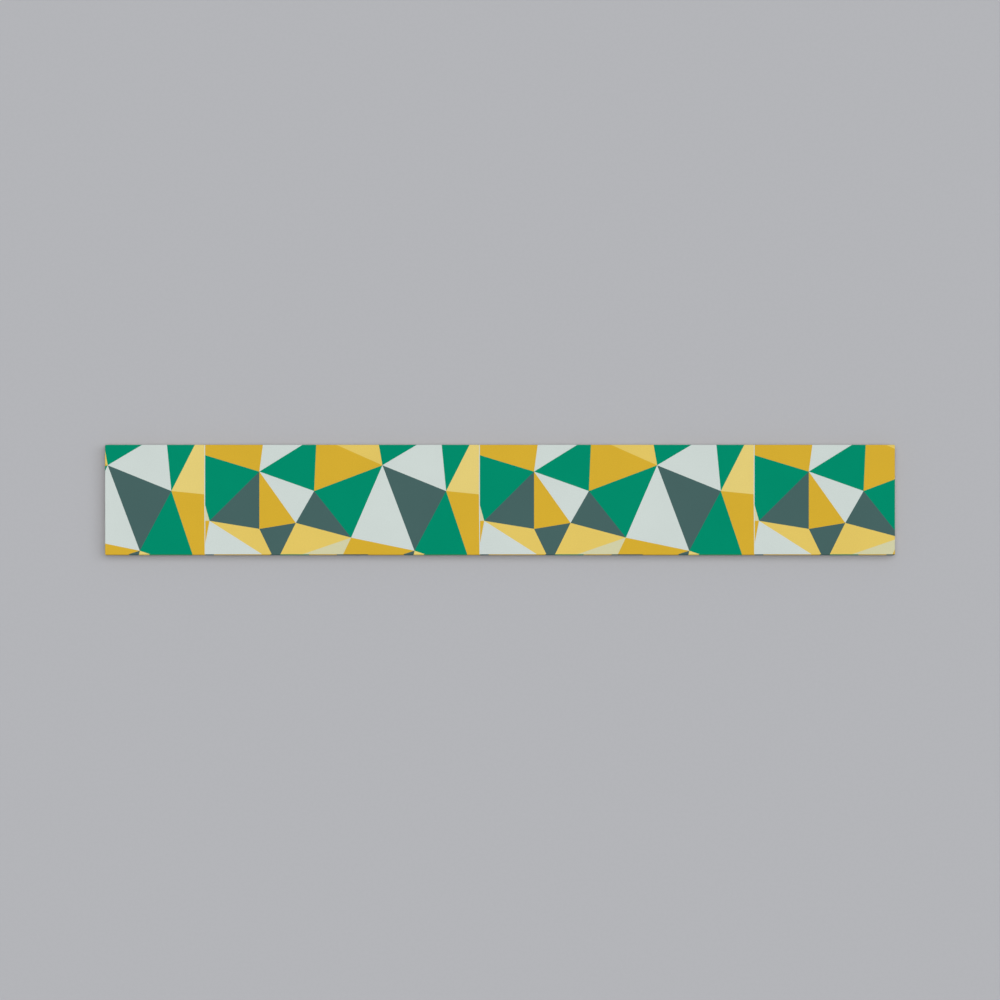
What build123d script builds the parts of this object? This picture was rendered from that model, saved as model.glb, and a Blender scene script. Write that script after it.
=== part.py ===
from build123d import *
import math
import os

# A long, thin glazed ceramic border tile for a wall, lying on its back.
#
# X runs along its length, Y across its width towards the edge that is upper on the wall,
# and Z out of the glazed face. The origin is the centre of the back, on the plane that
# the back's rim and ribs stand on.

# Driving dimensions, in millimetres and degrees
LENGTH = 500.0
WIDTH = 70.0
THICKNESS = 9.0

# The face ends in a softened edge, the arris, over which the glaze runs.
ARRIS_RADIUS = 0.5
# The press leaves a small bevel where the sides meet the back.
BACK_BEVEL = 0.8
# Seen from the front, a corner is rounder than both edges by this much, so that they can turn it.
CORNER_ALLOWANCE = 0.2

# Shallow keying grooves in the back give the adhesive a grip.
GROOVE_WIDTH = 6.0
GROOVE_DEPTH = 0.8
GROOVE_DRAFT = 20.0
RIB_WIDTH = 4.0
SMALLEST_SIDE_RIM = 6.0
END_RIM = 9.0


def pressed_slab():
    """The body of the tile, with rounded corners, a soft face edge and a bevelled back edge."""
    corner_radius = max(ARRIS_RADIUS, BACK_BEVEL) + CORNER_ALLOWANCE
    slab = extrude(RectangleRounded(LENGTH, WIDTH, corner_radius), amount=THICKNESS)
    face_edges = slab.faces().sort_by(Axis.Z).last.edges()
    slab = fillet(face_edges, ARRIS_RADIUS)
    back_edges = slab.faces().sort_by(Axis.Z).first.edges()
    return chamfer(back_edges, BACK_BEVEL)


def groove_centres():
    """The Y of each groove: as many as the side rims leave room for, spread about the middle."""
    pitch = GROOVE_WIDTH + RIB_WIDTH
    room = WIDTH - 2 * SMALLEST_SIDE_RIM
    count = math.floor((room + RIB_WIDTH) / pitch)
    return [(index - (count - 1) / 2) * pitch for index in range(count)]


def keying_groove(y):
    """One round-ended groove, widest at its mouth, so that the tile leaves the press."""
    mouth = SlotOverall(LENGTH - 2 * END_RIM, GROOVE_WIDTH)
    return Pos(0, y, 0) * extrude(mouth, amount=GROOVE_DEPTH, taper=GROOVE_DRAFT)


def border_tile():
    """The whole tile, pressed and fired as one piece."""
    tile = pressed_slab()
    for y in groove_centres():
        tile -= keying_groove(y)
    return tile


os.makedirs("parts", exist_ok=True)
export_step(border_tile(), "parts/border_tile.step")
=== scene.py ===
# %% [markdown]
# # A printed and glazed border tile
#
# The object is one piece of fired clay: a strip, long and thin, that runs through a tiled
# wall as a band of colour. Its face carries a print of straight-sided facets under a clear
# gloss glaze. The solid model gives its size and its form. Here the same tile gets what the
# eye sees: the print, the edge where the glaze ends, and the bare fired sides and back.
#
# Everything is in metres and in the frame of the solid model. X runs along the tile, Y
# across it and Z out of its face, and the origin is the centre of its back.

# %% Load the solid model and read its size
import math

import bmesh
import bpy
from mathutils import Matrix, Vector, noise


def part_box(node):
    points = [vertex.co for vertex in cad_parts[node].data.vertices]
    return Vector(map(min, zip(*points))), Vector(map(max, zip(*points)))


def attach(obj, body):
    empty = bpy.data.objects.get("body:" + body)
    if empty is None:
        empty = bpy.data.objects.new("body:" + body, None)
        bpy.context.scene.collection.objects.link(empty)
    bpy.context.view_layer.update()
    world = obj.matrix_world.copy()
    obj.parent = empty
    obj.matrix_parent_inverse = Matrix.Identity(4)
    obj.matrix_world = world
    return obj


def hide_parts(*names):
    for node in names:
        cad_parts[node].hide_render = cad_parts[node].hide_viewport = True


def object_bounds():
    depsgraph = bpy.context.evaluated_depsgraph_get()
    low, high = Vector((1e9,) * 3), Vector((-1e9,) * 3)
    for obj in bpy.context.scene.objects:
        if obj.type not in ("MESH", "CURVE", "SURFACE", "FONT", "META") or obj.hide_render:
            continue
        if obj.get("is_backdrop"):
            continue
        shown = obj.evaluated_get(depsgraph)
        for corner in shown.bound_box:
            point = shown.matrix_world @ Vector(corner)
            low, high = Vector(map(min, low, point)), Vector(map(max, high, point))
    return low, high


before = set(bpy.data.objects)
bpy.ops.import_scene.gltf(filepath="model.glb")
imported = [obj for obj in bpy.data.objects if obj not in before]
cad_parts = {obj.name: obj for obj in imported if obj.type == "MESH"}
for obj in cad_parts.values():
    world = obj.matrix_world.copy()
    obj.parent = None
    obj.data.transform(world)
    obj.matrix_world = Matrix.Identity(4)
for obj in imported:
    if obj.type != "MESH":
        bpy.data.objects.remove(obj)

MM = 0.001
NODE = "border_tile"
solid_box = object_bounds()
lowest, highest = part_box(NODE)
LENGTH, WIDTH, THICKNESS = highest - lowest
print(f"The tile is {LENGTH / MM:.0f} x {WIDTH / MM:.0f} x {THICKNESS / MM:.0f} mm.")

# %% [markdown]
# ## Helpers for materials
#
# A designer writes a colour as sRGB hex, but a shader adds and multiplies light, which is
# only right in linear values. So every colour passes through one function. A second
# function adds a node: it sets the node's own settings, then fills its inputs with plain
# values or with links. Shader trees and geometry trees both use it. The short ones after it
# add the four nodes that come back most often, and the last one starts a material.

# %% Turn a written colour into light
def linear(hex_colour):
    """The linear RGBA of an sRGB colour such as #008B6A."""
    channels = [int(hex_colour[start:start + 2], 16) / 255 for start in (1, 3, 5)]
    return [c / 12.92 if c <= 0.04045 else ((c + 0.055) / 1.055) ** 2.4 for c in channels] + [1.0]


def shaded(hex_colour, factor):
    """The same colour with its light multiplied by a factor."""
    return [channel * factor for channel in linear(hex_colour)[:3]] + [1.0]


# %% Add a node to a tree
def fill(tree, socket, value):
    """Fills an input with a value, a socket, or a node, which gives its first output."""
    if isinstance(value, bpy.types.Node):
        value = next(s for s in value.outputs if s.enabled)
    if isinstance(value, bpy.types.NodeSocket):
        tree.links.new(value, socket)
    else:
        socket.default_value = value


def add_node(tree, kind, settings=None, inputs=None):
    """Adds a node, makes its settings and fills its inputs."""
    node = tree.nodes.new(kind)
    for name, value in (settings or {}).items():
        setattr(node, name, value)
    for name, value in (inputs or {}).items():
        fill(tree, next(s for s in node.inputs if s.name == name and s.enabled), value)
    return node


# %% Nodes that come back often
def noise_of(tree, place, size, **inputs):
    """A smooth noise whose waves have about this size."""
    return add_node(tree, "ShaderNodeTexNoise", inputs={
        "Vector": place, "Scale": 1 / size, **inputs})


def ramp(tree, value, span, reach=(0.0, 1.0)):
    """Stretches a span of values to a reach, and stops at its ends."""
    return add_node(tree, "ShaderNodeMapRange", inputs={
        "Value": value, "From Min": span[0], "From Max": span[1],
        "To Min": reach[0], "To Max": reach[1]})


def blend(tree, factor, first, second):
    """Mixes two colours."""
    return add_node(tree, "ShaderNodeMix", {"data_type": "RGBA"}, {
        "Factor": factor, "A": first, "B": second})


def combine(tree, operation, first, second):
    """Adds or multiplies two values, or does another sum with them."""
    node = add_node(tree, "ShaderNodeMath", {"operation": operation})
    fill(tree, node.inputs[0], first)
    fill(tree, node.inputs[1], second)
    return node


# %% Start a material
def new_material(name):
    """A material with an empty node tree."""
    material = bpy.data.materials.new(name)
    material.use_nodes = True
    material.node_tree.nodes.clear()
    return material


# %% [markdown]
# ## The print and its gloss glaze
#
# The colours are ceramic inks, sprayed on the raw white glaze by a printer and fired in
# under a clear gloss coat. Fired ink is even, but never perfectly so: it clouds a little
# over some centimetres, and its droplets leave a grain. The droplets are 0.07 mm wide, too
# fine to show, so the grain is drawn at 0.5 mm. A photo of the face shows about this much
# unevenness and no more, so both are faint. Each material mixes its ink at half the light
# with its ink at one and a half times the light. The middle of the mix is the ink as it is
# written, and the noises move it a little either way.
#
# The glaze is glass, with an index of 1.5 and hardly any roughness. As it melts it pulls
# itself nearly flat, and what stays is called orange peel: waves a few millimetres long and
# some hundredths of a millimetre high. They don't show face on. They bend the reflections
# when the tile is seen at a slant, and that is what says glazed to the eye.

# %% Ceramic inks under clear gloss glaze
INKS = {
    "emerald": "#008B6A",
    "slate": "#466361",
    "ice_white": "#CDD7D3",
    "ochre": "#D4AC32",
    "straw": "#E1C564",
    "pale_straw": "#E3CD78",
    "cream": "#D0CEA7",
}
CLOUD_SIZE = 28 * MM
GRAIN_SIZE = 0.5 * MM
CLOUD_AMOUNT = 0.015
GRAIN_AMOUNT = 0.045
GLAZE_IOR = 1.5
GLAZE_ROUGHNESS = 0.07
PEEL_LENGTH = 3.5 * MM
PEEL_HEIGHT = 0.02 * MM
SWELL_LENGTH = 30 * MM
SWELL_HEIGHT = 0.06 * MM
NOISE_SPAN = (0.3, 0.7)
INK_SWING = 0.5
MIDDLE = 0.5
DULLING = 0.2


def glazed(name, colour, cloud_amount, grain_amount, shade=1.0):
    """A gloss glazed surface whose colour clouds and has a grain by the amounts given; a shade
    below one darkens it as painted shade.
    """
    material = new_material(name)
    tree = material.node_tree
    place = add_node(tree, "ShaderNodeTexCoord").outputs["Object"]
    cloud = noise_of(tree, place, CLOUD_SIZE, Detail=2.0, Roughness=0.5)
    grain = noise_of(tree, place, GRAIN_SIZE, Detail=1.0, Roughness=0.6)
    clouded = ramp(tree, cloud, NOISE_SPAN, (MIDDLE - cloud_amount, MIDDLE + cloud_amount))
    grained = ramp(tree, grain, NOISE_SPAN, (-grain_amount, grain_amount))
    tone = combine(tree, "ADD", clouded, grained)
    ink = blend(tree, tone, shaded(colour, (1 - INK_SWING) * shade),
                shaded(colour, (1 + INK_SWING) * shade))
    peel = noise_of(tree, place, PEEL_LENGTH, Detail=1.0, Roughness=0.4)
    swell = noise_of(tree, place, SWELL_LENGTH, Detail=0.0)
    swelling = add_node(tree, "ShaderNodeBump", inputs={
        "Strength": 1.0, "Distance": SWELL_HEIGHT, "Height": swell})
    peeling = add_node(tree, "ShaderNodeBump", inputs={
        "Strength": 1.0, "Distance": PEEL_HEIGHT, "Height": peel, "Normal": swelling})
    dulled = ramp(tree, cloud, NOISE_SPAN, (
        (1 - DULLING) * GLAZE_ROUGHNESS, (1 + DULLING) * GLAZE_ROUGHNESS))
    shader = add_node(tree, "ShaderNodeBsdfPrincipled", inputs={
        "Base Color": ink, "Roughness": dulled, "IOR": GLAZE_IOR, "Normal": peeling})
    add_node(tree, "ShaderNodeOutputMaterial", inputs={"Surface": shader})
    return material


finishes = {
    ink: glazed(f"{ink}_ink_under_gloss_glaze", colour, CLOUD_AMOUNT, GRAIN_AMOUNT)
    for ink, colour in INKS.items()
}
print("Inks:", ", ".join(finishes))

# %% [markdown]
# ## The white base glaze and the fired body
#
# The print ends just below the rounded edge of the face. From there the white glaze that it
# was laid on runs a little way down the side and stops in a wandering line, where it was
# wiped off so that the tile wouldn't stick to its neighbour in the kiln. Then comes the
# body, called biscuit: pressed clay, fired once, matt and porous. It is a warm off-white
# with a sandy grain and a few brown specks of iron. The back's rim and ribs also carry a
# thin white dust, the wash that keeps a tile off the rollers of the kiln.

# %% Base glaze and biscuit
BASE_GLAZE = "#E4E2DA"
BISCUIT = "#CDBB9E"
BISCUIT_DARK = "#B8A483"
IRON_SPECK = "#6E4B33"
KILN_WASH = "#E9E6DF"
SAND_SIZE = 0.4 * MM
SAND_HEIGHT = 0.05 * MM
SAND_SPAN = (0.35, 0.7)
SAND_AMOUNT = 0.35
PATCH_SIZE = 14 * MM
PATCH_SPAN = (0.35, 0.65)
SPECK_SPACING = 5 * MM
SPECK_WIDTH = 0.5 * MM
SPECK_CORE = 0.6
SPECK_AMOUNT = 0.8
WASH_DEPTH = 0.12 * MM
WASH_SPAN = (0.4, 0.6)
WASH_AMOUNTS = (0.25, 0.8)
BISCUIT_ROUGHNESS = 0.85


def fired_biscuit():
    """Pressed and fired clay, with sand grain, iron specks and kiln wash on what stands proud."""
    material = new_material("fired_white_clay_biscuit")
    tree = material.node_tree
    place = add_node(tree, "ShaderNodeTexCoord").outputs["Object"]
    sand = noise_of(tree, place, SAND_SIZE, Detail=2.0, Roughness=0.6)
    patches = noise_of(tree, place, PATCH_SIZE, Detail=4.0, Roughness=0.6)
    patchy = ramp(tree, patches, PATCH_SPAN)
    clay = blend(tree, patchy, linear(BISCUIT_DARK), linear(BISCUIT))
    sandy = ramp(tree, sand, SAND_SPAN, (0.0, SAND_AMOUNT))
    grainy = blend(tree, sandy, clay, linear(BISCUIT_DARK))
    cells = add_node(tree, "ShaderNodeTexVoronoi", inputs={
        "Vector": place, "Scale": 1 / SPECK_SPACING, "Randomness": 1.0})
    edge = SPECK_WIDTH / SPECK_SPACING / 2
    speck = ramp(tree, cells.outputs["Distance"], (SPECK_CORE * edge, edge), (SPECK_AMOUNT, 0.0))
    specked = blend(tree, speck, grainy, linear(IRON_SPECK))
    height = add_node(tree, "ShaderNodeSeparateXYZ", inputs={"Vector": place}).outputs["Z"]
    dusted = ramp(tree, height, (0.0, WASH_DEPTH), (1.0, 0.0))
    wash = combine(tree, "MULTIPLY", dusted, ramp(tree, patches, WASH_SPAN, WASH_AMOUNTS))
    washed = blend(tree, wash, specked, linear(KILN_WASH))
    grain = add_node(tree, "ShaderNodeBump", inputs={
        "Strength": 1.0, "Distance": SAND_HEIGHT, "Height": sand})
    shader = add_node(tree, "ShaderNodeBsdfPrincipled", inputs={
        "Base Color": washed, "Roughness": BISCUIT_ROUGHNESS, "IOR": GLAZE_IOR, "Normal": grain})
    add_node(tree, "ShaderNodeOutputMaterial", inputs={"Surface": shader})
    return material


finishes["base_glaze"] = glazed("opaque_white_base_glaze", BASE_GLAZE, CLOUD_AMOUNT, 0.0)
finishes["biscuit"] = fired_biscuit()
print("Finishes:", len(finishes))

# %% [markdown]
# ## One repeat of the print
#
# The print is a band of facets that repeats about every 174 mm. A few corners, joined by
# straight lines, hold all of it, so they are written down as points, in millimetres: u from
# the seam where a repeat starts, v up from the tile's lower edge. A to I are the corners
# inside the band. U points lie on its upper edge, L points on its lower edge, and S points
# on the seam. The seam itself shows as a white hairline, with R points along its near side
# and E points, copies of the S points, along its far side. Each facet then names its ink
# and its corners.

# %% Corners and facets of one repeat
PITCH = 173.86
HEIGHT = 70.0
CORNERS = {
    "A": (34.2, 53.0), "B": (2.7, 21.8), "C": (34.2, 16.7),
    "D": (57.3, 20.5), "E": (68.9, 40.7), "F": (92.3, 11.2),
    "G": (112.1, 57.0), "H": (152.4, 40.7), "I": (132.4, 2.9),
    "U1": (36.5, HEIGHT), "U2": (61.6, HEIGHT), "U3": (70.2, HEIGHT), "U4": (82.8, HEIGHT),
    "U5": (109.8, HEIGHT), "U6": (134.0, HEIGHT), "U7": (149.6, HEIGHT), "U8": (167.3, HEIGHT),
    "L1": (37.0, 0.0), "L2": (42.3, 0.0), "L3": (47.2, 0.0), "L4": (59.7, 0.0), "L5": (86.9, 0.0),
    "L6": (123.1, 0.0), "L7": (131.9, 0.0), "L8": (141.0, 0.0), "L9": (166.0, 0.0),
    "S0": (0.0, 0.0), "S1": (0.0, 7.5), "S2": (0.0, 21.8),
    "S3": (-0.1, 31.8), "S4": (-0.1, 63.4), "S5": (-0.1, HEIGHT),
    "R0": (173.5, 0.0), "R1": (173.2, 38.6), "R2": (173.3, HEIGHT),
}
for index in range(6):
    u, v = CORNERS[f"S{index}"]
    CORNERS[f"E{index}"] = (u + PITCH, v)
FACETS = [
    ("ochre", "S5 U1 A S4"),
    ("emerald", "S4 A B S3"),
    ("slate", "A C B"),
    ("ochre", "A D C"),
    ("ice_white", "U1 U2 A"),
    ("emerald", "U2 U3 E A"),
    ("ice_white", "A E D"),
    ("slate", "E F D"),
    ("emerald", "E G F"),
    ("ochre", "U3 U4 G E"),
    ("straw", "U4 U5 G"),
    ("emerald", "U5 U6 G"),
    ("ice_white", "U6 U7 H G"),
    ("slate", "G H I"),
    ("ice_white", "G I F"),
    ("emerald", "U7 U8 H"),
    ("pale_straw", "U8 R2 R1 H"),
    ("ochre", "H R1 R0 L9"),
    ("emerald", "H L9 L8 I"),
    ("pale_straw", "I L8 L7"),
    ("slate", "I L7 L6"),
    ("ochre", "F I L6 L5"),
    ("cream", "F L5 L4"),
    ("straw", "D F L4 L3"),
    ("slate", "C D L3 L2"),
    ("straw", "B C L2 L1"),
    ("ice_white", "B L1 S0 S1"),
    ("cream", "S3 B S2"),
    ("ochre", "S2 B S1"),
    ("ice_white", "R2 E5 E4 E3 E2 E1 E0 R0 R1"),
]
ink_names = list(INKS)


def one_repeat():
    """One repeat of the print as a flat mesh on the face of the tile, each facet with its ink."""
    bm = bmesh.new()
    ink = bm.faces.layers.int.new("ink")
    points = {
        name: bm.verts.new((u * MM, v * MM - WIDTH / 2, THICKNESS))
        for name, (u, v) in CORNERS.items()
    }
    for ink_name, corner_names in FACETS:
        facet = bm.faces.new([points[name] for name in corner_names.split()])
        facet[ink] = ink_names.index(ink_name)
        facet.normal_update()
        if facet.normal.z < 0:
            facet.normal_flip()
    covered = sum(facet.calc_area() for facet in bm.faces) / MM ** 2
    print(f"{len(bm.faces)} facets cover {covered:.1f} of {PITCH * HEIGHT:.1f} square mm.")
    mesh = bpy.data.meshes.new("one_repeat")
    bm.to_mesh(mesh)
    bm.free()
    return mesh


repeat_mesh = one_repeat()

# %% [markdown]
# ## The print repeated along the tile
#
# On the real line the same image runs on from tile to tile, and each tile is a cut from it.
# Geometry Nodes do the same: a row of points one pitch apart, a copy of the repeat on each,
# and the copies made real and welded where their seams meet. The facets then get their
# materials from the ink number that each one carries. Array would also work, but a tree
# keeps the pitch, the number of copies and the place of the first seam as named inputs.

# %% Helpers to build and run a geometry tree
def new_tree(name, sizes):
    """A geometry tree with a Geometry input and output and one named input for each size."""
    tree = bpy.data.node_groups.new(name, "GeometryNodeTree")
    tree.interface.new_socket("Geometry", in_out="INPUT", socket_type="NodeSocketGeometry")
    for size, value in sizes.items():
        kind = "NodeSocketInt" if isinstance(value, int) else "NodeSocketFloat"
        tree.interface.new_socket(size, in_out="INPUT", socket_type=kind)
    tree.interface.new_socket("Geometry", in_out="OUTPUT", socket_type="NodeSocketGeometry")
    return tree


def plain_mesh(piece):
    """What the piece's modifiers make of it, as a mesh of its own."""
    bpy.context.view_layer.update()
    evaluated = piece.evaluated_get(bpy.context.evaluated_depsgraph_get())
    return bpy.data.meshes.new_from_object(evaluated)


def run_tree(tree, mesh, sizes):
    """Runs the tree on a mesh with these sizes and returns a plain mesh."""
    holder = bpy.data.objects.new("holder", mesh)
    bpy.context.scene.collection.objects.link(holder)
    modifier = holder.modifiers.new(tree.name, "NODES")
    modifier.node_group = tree
    for item in tree.interface.items_tree:
        if item.in_out == "INPUT" and item.name in sizes:
            modifier[item.identifier] = sizes[item.name]
    made = plain_mesh(holder)
    bpy.data.objects.remove(holder)
    return made


# %% Repeat the print
MIDDLE_SEAM = -12.65 * MM
WELD = 0.001 * MM
half_tile_repeats = math.ceil(LENGTH / 2 / (PITCH * MM))
print_sizes = {
    "Pitch": PITCH * MM,
    "First seam": MIDDLE_SEAM - half_tile_repeats * PITCH * MM,
    "Copies": 2 * half_tile_repeats,
}


def print_tree():
    """Copies a repeat along X, welds the copies and gives each facet the material of its ink."""
    tree = new_tree("repeat_the_print", print_sizes)
    given = add_node(tree, "NodeGroupInput")
    start = add_node(tree, "ShaderNodeCombineXYZ", inputs={"X": given.outputs["First seam"]})
    step = add_node(tree, "ShaderNodeCombineXYZ", inputs={"X": given.outputs["Pitch"]})
    row = add_node(tree, "GeometryNodeMeshLine", {"mode": "OFFSET"}, {
        "Count": given.outputs["Copies"], "Start Location": start, "Offset": step})
    copies = add_node(tree, "GeometryNodeInstanceOnPoints", inputs={
        "Points": row, "Instance": given.outputs["Geometry"]})
    real = add_node(tree, "GeometryNodeRealizeInstances", inputs={"Geometry": copies})
    band = add_node(tree, "GeometryNodeMergeByDistance", inputs={
        "Geometry": real, "Distance": WELD})
    carried = add_node(tree, "GeometryNodeInputNamedAttribute", {"data_type": "INT"}, {
        "Name": "ink"})
    same_number = {"data_type": "INT", "operation": "EQUAL"}
    for index, ink_name in enumerate(ink_names):
        chosen = add_node(tree, "FunctionNodeCompare", same_number, {"A": carried, "B": index})
        band = add_node(tree, "GeometryNodeSetMaterial", inputs={
            "Geometry": band, "Selection": chosen, "Material": finishes[ink_name]})
    add_node(tree, "NodeGroupOutput", inputs={"Geometry": band})
    return tree


band_mesh = run_tree(print_tree(), repeat_mesh, print_sizes)
empty_slots = [slot for slot, material in enumerate(band_mesh.materials) if not material]
print(f"The band has {len(band_mesh.polygons)} facets and {len(band_mesh.materials)} material"
      f" slots. Empty are {empty_slots}.")

# %% [markdown]
# ## Cut the band to the outline of the tile
#
# A tile is printed from straight above, so seen from there the facets run on over its
# rounded edge without a bend. The band is therefore first cut flat, to the outline that the
# tile has from above. A plane for each side, and a few round each corner, do that: what is
# outside falls away. The same planes a little further in then score the border in lines
# that the bend will need, closest together where it is steepest.

# %% Trim and score the band
ARRIS_REACH = 0.35 * MM
ARRIS_DROP = 0.7 * MM
ARRIS_STEPS = 8
CORNER_RADIUS = 1.0 * MM
FLAT_CORNER = CORNER_RADIUS - ARRIS_REACH
CORNER_CUTS = 5
CUT_TOLERANCE = WELD / 100
corner_centre = Vector((LENGTH / 2 - CORNER_RADIUS, WIDTH / 2 - CORNER_RADIUS, 0))


def cut_round(bm, radius, trim):
    """Cuts along an outline with this corner radius, and can take away what is outside."""
    for quarter in range(4):
        for cut in range(CORNER_CUTS + 1):
            angle = math.radians(90 * (quarter + cut / (CORNER_CUTS + 1)))
            outward = Vector((math.cos(angle), math.sin(angle), 0))
            reach = sum(abs(outward[axis]) * corner_centre[axis] for axis in (0, 1))
            everything = bm.verts[:] + bm.edges[:] + bm.faces[:]
            bmesh.ops.bisect_plane(
                bm, geom=everything, dist=CUT_TOLERANCE, clear_outer=trim,
                plane_co=outward * (reach + radius), plane_no=outward)


tile = bmesh.new()
tile.from_mesh(band_mesh)
cut_round(tile, CORNER_RADIUS, trim=True)
for step in range(ARRIS_STEPS):
    scored = ARRIS_REACH * math.sin(math.radians(90 * step / ARRIS_STEPS))
    cut_round(tile, FLAT_CORNER + scored, trim=False)
face_area = sum(facet.calc_area() for facet in tile.faces) / MM ** 2
print(f"The print: {len(tile.faces)} pieces, {face_area:.0f} square mm.")

# %% [markdown]
# ## The strip along the lower edge
#
# Along the lower edge the border of the print doesn't continue the facets above it. There
# the edge carries a narrow strip of short lengths of ink. They are listed as the place
# where each ends and its ink. One plane scores the strip off, and one across it makes each
# end. The strip has inks of its own: they are the print's inks, painted darker than on the
# face as painted shade for the lower edge, which is turned away from the light. Below the
# widest emerald facet a hair of ochre shows under the emerald. The two together read as a
# leaf green. The biscuit takes the first material slot, which the band has left empty, so
# that the numbers of the inks stay as they are. The edges and corners to cut are kept in
# order, which sets wouldn't do, so each run cuts alike.

# %% Inks of the strip
STRIP_WIDTH = 0.65 * MM
# The strip's inks keep 0.7 of their light: painted shade for the lower edge, turned away from the
# light.
STRIP_PAINTED_SHADE = 0.7
STRIP_INKS = {**INKS, "leaf_green": "#35935C"}
HEM = [
    (5.5, "slate"), (41.1, "ochre"), (47.3, "slate"), (65.6, "emerald"), (83.3, "ochre"),
    (103.0, "slate"), (125.7, "ochre"), (131.8, "slate"), (138.4, "straw"),
    (165.7, "leaf_green"), (PITCH, "ochre"),
]
# Each strip ink is a print ink with painted shade, darker than the same ink on the face.
for ink in sorted({ink for _, ink in HEM}):
    finishes[f"{ink}_strip"] = glazed(
        f"{ink}_ink_with_painted_edge_shade", STRIP_INKS[ink], CLOUD_AMOUNT, GRAIN_AMOUNT,
        STRIP_PAINTED_SHADE)
print("Finishes with the strip:", len(finishes))

# %% Ink the strip
slots = ["biscuit"] + [finish for finish in finishes if finish != "biscuit"]


def hem_faces(bm):
    """The faces of the strip along the lower edge."""
    return [face for face in bm.faces if face.calc_center_median().y < STRIP_WIDTH - WIDTH / 2]


def hem_ink(x):
    """The ink of the strip at x."""
    along = (x - print_sizes["First seam"]) % print_sizes["Pitch"] / MM
    return next(f"{ink_name}_strip" for end, ink_name in HEM if along <= end)


def ink_the_hem(bm):
    """Scores the strip off, cuts it where its ink changes and gives each length its ink."""
    bmesh.ops.bisect_plane(
        bm, geom=bm.verts[:] + bm.edges[:] + bm.faces[:], dist=CUT_TOLERANCE,
        plane_co=(0, STRIP_WIDTH - WIDTH / 2, 0), plane_no=(0, 1, 0))
    for repeat in range(print_sizes["Copies"]):
        seam = print_sizes["First seam"] + repeat * print_sizes["Pitch"]
        for end, _ in HEM:
            faces = hem_faces(bm)
            edges = dict.fromkeys(edge for face in faces for edge in face.edges)
            corners = dict.fromkeys(vertex for face in faces for vertex in face.verts)
            bmesh.ops.bisect_plane(
                bm, geom=[*corners, *edges, *faces], dist=CUT_TOLERANCE,
                plane_co=(seam + end * MM, 0, 0), plane_no=(1, 0, 0))
    for face in hem_faces(bm):
        face.material_index = slots.index(hem_ink(face.calc_center_median().x))


ink_the_hem(tile)
print("The strip:", len(hem_faces(tile)), "pieces.")

# %% [markdown]
# ## Bend the border down
#
# The rounded edge, the arris, is a quarter of an ellipse, twice as deep as wide: the glaze
# draws back from an edge as it melts, and leaves it steep. Seen from above, it is a narrow
# line that darkens on the sides turned away from the light. How far a point lies outside
# the flat of the face tells how far down it goes. Which way is outwards follows from the
# place alone, as the direction from the nearest corner centre. Where two cuts crossed, they
# left points almost in one place, and those are merged so that no sliver stays between them.

# %% Round the edge of the face
MERGE = 0.01 * MM


def corner_centre_near(place):
    """The centre of the nearest corner, or the foot of the straight side that a point is on."""
    return Vector([
        max(-corner_centre[axis], min(corner_centre[axis], place[axis])) for axis in (0, 1)] + [0])


def bend_border(bm):
    """Lowers each point outside the flat of the face onto the arris."""
    for vertex in bm.verts:
        centre = corner_centre_near(vertex.co)
        outward = Vector((vertex.co.x, vertex.co.y, 0)) - centre
        reach = min(outward.length, CORNER_RADIUS)
        beyond = max(reach - FLAT_CORNER, 0) / ARRIS_REACH
        if beyond > 0:
            vertex.co = centre + outward.normalized() * reach
            vertex.co.z = THICKNESS - ARRIS_DROP * (1 - math.sqrt(max(1 - beyond ** 2, 0)))


bend_border(tile)
points_before = len(tile.verts)
bmesh.ops.remove_doubles(tile, verts=tile.verts[:], dist=MERGE)
print(f"{points_before - len(tile.verts)} of {points_before} points merged.")
print(f"The border goes down to {min(vertex.co.z for vertex in tile.verts) / MM:.2f} mm.")

# %% [markdown]
# ## The sides and the back
#
# From there the skin of the tile goes down the side and round the bevel to the back. It is
# a sweep: each pass extrudes the open rim and pulls the new rim to the next point of the
# section. Two of the rims wander up and down by a smooth noise: the end of the print and
# the end of the white glaze, whose lip stands proud of the clay by a tenth of a millimetre.
# For that the rim first gets points close together; splitting an edge alone leaves the face
# beside it whole. The last rim is filled to make the back. Extruding lists the new faces in
# an order that changes from run to run, so they are then put in the order of their points.

# %% Sweep the section round the outline
PRINT_END = 1.5 * MM
GLAZE_END = 2.5 * MM
GLAZE_LIP = 0.12 * MM
BACK_BEVEL = 0.8 * MM
PRINT_WANDER = 0.08 * MM
GLAZE_WANDER = 0.35 * MM
WANDER_LENGTH = 7 * MM
COLUMN = 1.5 * MM
SECTION = [
    (CORNER_RADIUS, THICKNESS - PRINT_END, PRINT_WANDER, "print"),
    (CORNER_RADIUS, THICKNESS - GLAZE_END, GLAZE_WANDER, "base_glaze"),
    (CORNER_RADIUS - GLAZE_LIP, THICKNESS - GLAZE_END - GLAZE_LIP, GLAZE_WANDER, "base_glaze"),
    (CORNER_RADIUS - GLAZE_LIP, BACK_BEVEL, 0.0, "biscuit"),
    (CORNER_RADIUS - BACK_BEVEL, 0.0, 0.0, "biscuit"),
]


def rim_of(bm):
    """The edges that only one face has."""
    return [edge for edge in bm.edges if edge.is_boundary]


def divide_rim(bm):
    """Puts points on the rim that are no further than a column apart."""
    for edge in rim_of(bm):
        cuts = math.ceil(edge.calc_length() / COLUMN) - 1
        if cuts > 0:
            bmesh.ops.bisect_edges(bm, edges=[edge], cuts=cuts)


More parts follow.
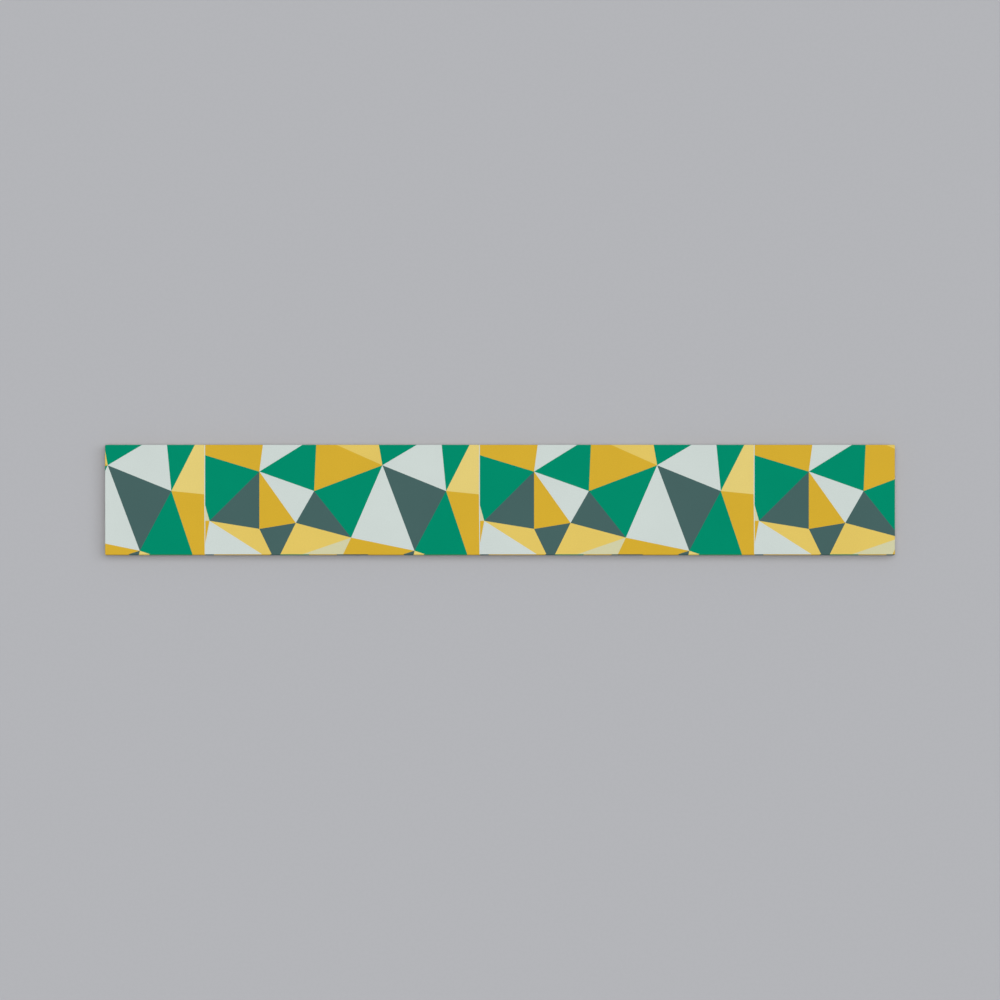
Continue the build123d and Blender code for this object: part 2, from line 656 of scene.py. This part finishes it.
def sweep_section(bm):
    """Extrudes the rim to each point of the section and gives the new faces their finish."""
    rim = rim_of(bm)
    for reach, height, wander, finish in SECTION:
        made = bmesh.ops.extrude_edge_only(bm, edges=rim)["geom"]
        for vertex in [g for g in made if isinstance(g, bmesh.types.BMVert)]:
            centre = corner_centre_near(vertex.co)
            outward = Vector((vertex.co.x, vertex.co.y, 0)) - centre
            drift = wander * noise.noise(vertex.co / WANDER_LENGTH)
            vertex.co = centre + outward.normalized() * reach
            vertex.co.z = height + drift
        if finish != "print":
            for face in [g for g in made if isinstance(g, bmesh.types.BMFace)]:
                face.material_index = slots.index(finish)
        rim = [g for g in made if isinstance(g, bmesh.types.BMEdge) and g.is_boundary]
    for face in bmesh.ops.edgeloop_fill(bm, edges=rim)["faces"]:
        face.material_index = slots.index("biscuit")


def put_in_order(bm):
    """Lists the edges and the faces by their points."""
    bm.verts.index_update()
    for listed in (bm.edges, bm.faces):
        in_order = sorted(listed, key=lambda one: sorted(vertex.index for vertex in one.verts))
        for index, one in enumerate(in_order):
            one.index = index
        listed.sort()


divide_rim(tile)
sweep_section(tile)
put_in_order(tile)
bmesh.ops.recalc_face_normals(tile, faces=tile.faces[:])
open_edges = sum(not edge.is_manifold for edge in tile.edges)
blank_mesh = bpy.data.meshes.new("tile_without_grooves")
for slot in slots:
    blank_mesh.materials.append(finishes[slot])
tile.to_mesh(blank_mesh)
tile.free()
print(f"The blank has {len(blank_mesh.polygons)} faces and {open_edges} open edges.")

# %% [markdown]
# ## The keying grooves in the back
#
# The press leaves round-ended grooves in the back, which the adhesive fills. They are all
# alike and evenly spaced, so Geometry Nodes make the tools that cut them: one cone with a
# flat tip gives the sloping walls, its two halves are moved apart to stretch it into a
# slot, and a row of copies goes across the tile. A Boolean then takes them out of the back.

# %% Groove cutters
GROOVE_WIDTH = 6.0 * MM
GROOVE_DEPTH = 0.8 * MM
GROOVE_DRAFT = math.radians(20)
RIB_WIDTH = 4.0 * MM
SIDE_RIM = 6.0 * MM
END_RIM = 9.0 * MM
OVERSHOOT = 0.4 * MM
ROUND_END_POINTS = 48
groove_pitch = GROOVE_WIDTH + RIB_WIDTH
groove_sizes = {
    "Mouth radius": GROOVE_WIDTH / 2 + OVERSHOOT * math.tan(GROOVE_DRAFT),
    "Floor radius": GROOVE_WIDTH / 2 - GROOVE_DEPTH * math.tan(GROOVE_DRAFT),
    "Stretch": LENGTH / 2 - END_RIM - GROOVE_WIDTH / 2,
    "Spacing": groove_pitch,
    "Count": math.floor((WIDTH - 2 * SIDE_RIM + RIB_WIDTH) / groove_pitch),
}


def groove_tree():
    """A row of slot-shaped cutters, from a little below the back to the grooves' floor."""
    tree = new_tree("groove_cutters", groove_sizes)
    given = add_node(tree, "NodeGroupInput")
    cone = add_node(tree, "GeometryNodeMeshCone", inputs={
        "Vertices": ROUND_END_POINTS, "Depth": GROOVE_DEPTH + OVERSHOOT,
        "Radius Top": given.outputs["Floor radius"],
        "Radius Bottom": given.outputs["Mouth radius"]})
    turned = add_node(tree, "GeometryNodeTransform", inputs={
        "Geometry": cone, "Rotation": (0, 0, math.pi / ROUND_END_POINTS),
        "Translation": (0, 0, -OVERSHOOT)})
    place = add_node(tree, "GeometryNodeInputPosition")
    along = add_node(tree, "ShaderNodeSeparateXYZ", inputs={"Vector": place}).outputs["X"]
    half = add_node(tree, "ShaderNodeMath", {"operation": "SIGN"}, {"Value": along})
    shift = add_node(tree, "ShaderNodeCombineXYZ", inputs={
        "X": combine(tree, "MULTIPLY", half, given.outputs["Stretch"])})
    slot_shape = add_node(tree, "GeometryNodeSetPosition", inputs={
        "Geometry": turned, "Offset": shift})
    first_place = (1 - groove_sizes["Count"]) / 2
    first = add_node(tree, "ShaderNodeCombineXYZ", inputs={
        "Y": combine(tree, "MULTIPLY", given.outputs["Spacing"], first_place)})
    step = add_node(tree, "ShaderNodeCombineXYZ", inputs={"Y": given.outputs["Spacing"]})
    row = add_node(tree, "GeometryNodeMeshLine", {"mode": "OFFSET"}, {
        "Count": given.outputs["Count"], "Start Location": first, "Offset": step})
    copies = add_node(tree, "GeometryNodeInstanceOnPoints", inputs={
        "Points": row, "Instance": slot_shape})
    real = add_node(tree, "GeometryNodeRealizeInstances", inputs={"Geometry": copies})
    clay = add_node(tree, "GeometryNodeSetMaterial", inputs={
        "Geometry": real, "Material": finishes["biscuit"]})
    add_node(tree, "NodeGroupOutput", inputs={"Geometry": clay})
    return tree


cutter_mesh = run_tree(groove_tree(), bpy.data.meshes.new("no_mesh"), groove_sizes)
print(f"{groove_sizes['Count']} cutters with {len(cutter_mesh.polygons)} faces.")

# %% Cut the grooves
def new_object(name, mesh):
    """An object with this mesh, at the origin."""
    made = bpy.data.objects.new(name, mesh)
    bpy.context.scene.collection.objects.link(made)
    return made


blank = new_object("blank", blank_mesh)
cutters = new_object("cutters", cutter_mesh)
cut = blank.modifiers.new("grooves", "BOOLEAN")
cut.operation = "DIFFERENCE"
cut.solver = "EXACT"
cut.material_mode = "TRANSFER"
cut.object = cutters
grooved_mesh = plain_mesh(blank)
for done in (blank, cutters):
    bpy.data.objects.remove(done)
print(f"Grooved, it has {len(grooved_mesh.polygons)} faces in"
      f" {len(grooved_mesh.materials)} materials.")

# %% [markdown]
# ## Shading
#
# The rounded edge has to look round and the face flat, though they share their border. So
# all faces are smooth, the real creases are marked sharp by their angle, and a Weighted
# Normal modifier lets the larger face decide the normal of a shared point. It is then made
# part of the mesh.

# %% Smooth the round edges and keep the creases
CREASE = math.radians(30)
grooved_mesh.polygons.foreach_set("use_smooth", [True] * len(grooved_mesh.polygons))
grooved_mesh.set_sharp_from_angle(angle=CREASE)
smoothed = new_object("smoothed", grooved_mesh)
weights = smoothed.modifiers.new("weights", "WEIGHTED_NORMAL")
weights.mode = "FACE_AREA"
weights.weight = 100
weights.keep_sharp = True
tile_mesh = plain_mesh(smoothed)
bpy.data.objects.remove(smoothed)
tile_mesh.name = "glazed_border_tile"

# %% [markdown]
# ## A map for baking
#
# The colours of the tile can be baked into one square image. On a tile seven times as
# long as wide, an automatic layout leaves few pixels along the length. So the mesh gets a
# map of its own, under the name that the export looks for. On it the face, parted at the
# seams of the print, lies in three rows with 4.7 pixels to a millimetre: the two whole
# repeats, and the two cut ones at the ends of the tile side by side. The back and the sides
# stand beside them at less than half that scale. No shader reads the map.

# %% Places on the map
MAP_PIXELS = 1024
MAP_GAP = 8
FACE_SCALE = 4.7
BODY_SCALE = 1.95
FACES_UP = 0.35
FACES_DOWN = -0.2
length, width, thickness = (size / MM for size in (LENGTH, WIDTH, THICKNESS))
first_end = (MIDDLE_SEAM / MM - PITCH + length / 2) * FACE_SCALE + 2 * MAP_GAP
last_end = first_end + (length / 2 - MIDDLE_SEAM / MM - PITCH) * FACE_SCALE + MAP_GAP
row_and_left = {-1: (0, MAP_GAP), 0: (1, MAP_GAP), -2: (2, MAP_GAP), 1: (2, first_end)}
row_pitch = width * FACE_SCALE + MAP_GAP
side_pitch = thickness * BODY_SCALE + MAP_GAP
back_left = PITCH * FACE_SCALE + 2 * MAP_GAP
sides_left = back_left + width * BODY_SCALE + MAP_GAP
print(f"The map is used up to pixel {sides_left + 2 * side_pitch - MAP_GAP:.0f} across"
      f" and {3 * row_pitch:.0f} up.")


# %% Lay the mesh out on the map
def map_pixel(place, centre, normal):
    """The pixel that a corner of a face gets, from the centre and the normal of the face."""
    along, across, up = place.x / MM + length / 2, place.y / MM + width / 2, place.z / MM
    if normal.z > FACES_UP:
        copy = math.floor((centre.x - MIDDLE_SEAM) / (PITCH * MM))
        row, left = row_and_left[copy]
        start = max(MIDDLE_SEAM / MM + copy * PITCH + length / 2, 0)
        return left + (along - start) * FACE_SCALE, MAP_GAP + row * row_pitch + across * FACE_SCALE
    if normal.z < FACES_DOWN and centre.z < 2 * BACK_BEVEL:
        return back_left + across * BODY_SCALE, MAP_GAP + along * BODY_SCALE
    if abs(normal.y) > abs(normal.x):
        left = sides_left + side_pitch * (centre.y > 0)
        return left + up * BODY_SCALE, MAP_GAP + along * BODY_SCALE
    left = last_end + side_pitch * (centre.x > 0)
    return left + up * BODY_SCALE, MAP_GAP + 2 * row_pitch + across * BODY_SCALE


bake_map = tile_mesh.uv_layers.new(name="OFBake", do_init=False)
for face in tile_mesh.polygons:
    for loop in face.loop_indices:
        place = tile_mesh.vertices[tile_mesh.loops[loop].vertex_index].co
        pixel = map_pixel(place, face.center, face.normal)
        bake_map.uv[loop].vector = [value / MAP_PIXELS for value in pixel]
used = [value for corner in bake_map.uv for value in corner.vector]
print(f"The map reaches from {min(used):.3f} to {max(used):.3f}.")

# %% The finished piece takes the place of the plain solid
border_tile = new_object("glazed_border_tile", tile_mesh)
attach(border_tile, "root")
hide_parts(NODE)
triangles = sum(len(face.vertices) - 2 for face in tile_mesh.polygons)
print(f"{border_tile.name}: {triangles} triangles.")

# %% [markdown]
# ## The floor
#
# The tile lies on a plain matt floor of an even, cool, mid-pale grey.

# %% Floor
FLOOR = "#B1B2B6"
FLOOR_SIZE = 6.0
PAINT_GRAIN_SIZE = 2 * MM
PAINT_GRAIN = 0.02


def matt_paint():
    """Even matt paint with the slightest grain."""
    material = new_material("matt_grey_paint")
    tree = material.node_tree
    place = add_node(tree, "ShaderNodeTexCoord").outputs["Object"]
    grain = noise_of(tree, place, PAINT_GRAIN_SIZE, Detail=2.0)
    paint = blend(tree, grain, shaded(FLOOR, 1 - PAINT_GRAIN), shaded(FLOOR, 1 + PAINT_GRAIN))
    shader = add_node(tree, "ShaderNodeBsdfPrincipled", inputs={
        "Base Color": paint, "Roughness": 1.0, "Specular IOR Level": 0.0})
    add_node(tree, "ShaderNodeOutputMaterial", inputs={"Surface": shader})
    return material


floor_mesh = bpy.data.meshes.new("floor")
half_floor = FLOOR_SIZE / 2
floor_mesh.from_pydata(
    [(-half_floor, -half_floor, 0), (half_floor, -half_floor, 0),
     (half_floor, half_floor, 0), (-half_floor, half_floor, 0)], [], [(0, 1, 2, 3)])
floor_mesh.materials.append(matt_paint())
floor = new_object("floor", floor_mesh)
floor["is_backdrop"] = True

# %% [markdown]
# ## The light
#
# The photo shows the tile evenly lit, with a soft shadow along its left and lower edges
# that is hardly wider than the tile is thick, and longer on the left. Three lamps do that:
# a small one straight above, beside the camera, a large soft one round it that leans to the
# upper edge, and one from the right. They are suns, because a sun lights the whole floor
# alike and its angle sets how soft its shadow is. Pale walls round the studio fill the
# sides and show in the glaze at a slant. Together they light the face so that a colour
# shows as it is written.
#
# In a copy studio the lights above are polarised, to keep their glare off the glaze. Here
# reflections leave those two out, and they are sampled as lamps alone: a ray that bounced
# off the glaze could otherwise still find them and lay a grey haze over the deep colours.
# The ceiling is dark for the same reason.

# %% Lamps and studio walls
def sun(name, strength, spread, tilt, turn):
    """A sun of this strength and angular width, tilted from overhead towards a compass turn."""
    light = bpy.data.lights.new(name, "SUN")
    light.energy = strength
    light.angle = math.radians(spread)
    lamp = bpy.data.objects.new(name, light)
    lamp.rotation_euler = (0, math.radians(tilt), math.radians(turn))
    bpy.context.scene.collection.objects.link(lamp)
    return lamp


OVERHEAD_STRENGTH = 0.63
SOFT_STRENGTH = 1.355
SIDE_STRENGTH = 0.625
WALL_LIGHT = 0.334
CEILING_LIGHT = 0.02
WALL_TOP = 0.75
WALL_FADE = 0.2

overhead = sun("overhead", OVERHEAD_STRENGTH, spread=13, tilt=0, turn=0)
soft = sun("soft", SOFT_STRENGTH, spread=44, tilt=9, turn=80)
for polarised in (overhead, soft):
    polarised.visible_glossy = False
    polarised.data.cycles.use_multiple_importance_sampling = False
side = sun("side", SIDE_STRENGTH, spread=38, tilt=37, turn=18)

world = bpy.data.worlds.new("studio")
bpy.context.scene.world = world
world.use_nodes = True
studio = world.node_tree
studio.nodes.clear()
direction = add_node(studio, "ShaderNodeTexCoord").outputs["Generated"]
upward = add_node(studio, "ShaderNodeSeparateXYZ", inputs={"Vector": direction}).outputs["Z"]
walls = add_node(studio, "ShaderNodeMapRange", {"interpolation_type": "SMOOTHSTEP"}, {
    "Value": upward, "From Min": WALL_TOP, "From Max": WALL_TOP + WALL_FADE,
    "To Min": WALL_LIGHT, "To Max": CEILING_LIGHT})
lit_walls = add_node(studio, "ShaderNodeBackground", inputs={
    "Color": linear("#FFFFFF"), "Strength": walls})
backdrop = add_node(studio, "ShaderNodeBackground", inputs={"Color": linear(FLOOR)})
seen = add_node(studio, "ShaderNodeLightPath").outputs["Is Camera Ray"]
surroundings = add_node(studio, "ShaderNodeMixShader")
for socket, value in zip(surroundings.inputs, (seen, lit_walls, backdrop)):
    fill(studio, socket, value)
add_node(studio, "ShaderNodeOutputWorld", inputs={"Surface": surroundings})
bpy.context.scene.view_settings.view_transform = "Standard"

# %% [markdown]
# ## The camera
#
# The photo looks straight down on the face, with no sign of perspective, so the camera has
# a very long lens far above the middle of the tile. The photo is 1000 pixels wide, and the
# tile's 500 mm take 790.1 of them. That gives the width of the view at the face, and with
# the lens the camera's height.

# %% Camera
PHOTO_PIXELS = 1000
TILE_PIXELS = 790.1
LENS = 400.0
SENSOR = 36.0
view_width = LENGTH * PHOTO_PIXELS / TILE_PIXELS
camera_data = bpy.data.cameras.new("camera")
camera_data.lens = LENS
camera_data.sensor_width = SENSOR
camera = bpy.data.objects.new("camera", camera_data)
camera.location = (0, 0, THICKNESS + view_width * LENS / SENSOR)
bpy.context.scene.collection.objects.link(camera)
bpy.context.scene.camera = camera
print(f"The view is {view_width / MM:.1f} mm wide from {camera.location.z:.2f} m up.")

# %% [markdown]
# ## The size of both boxes
#
# The dressed tile has to fill the box of the solid and stay inside it, so both boxes are
# printed.

# %% Write both boxes
shown_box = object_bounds()
for name, box in (("solid", solid_box), ("shown", shown_box)):
    print(name, [[round(value / MM, 3) for value in corner] for corner in box])
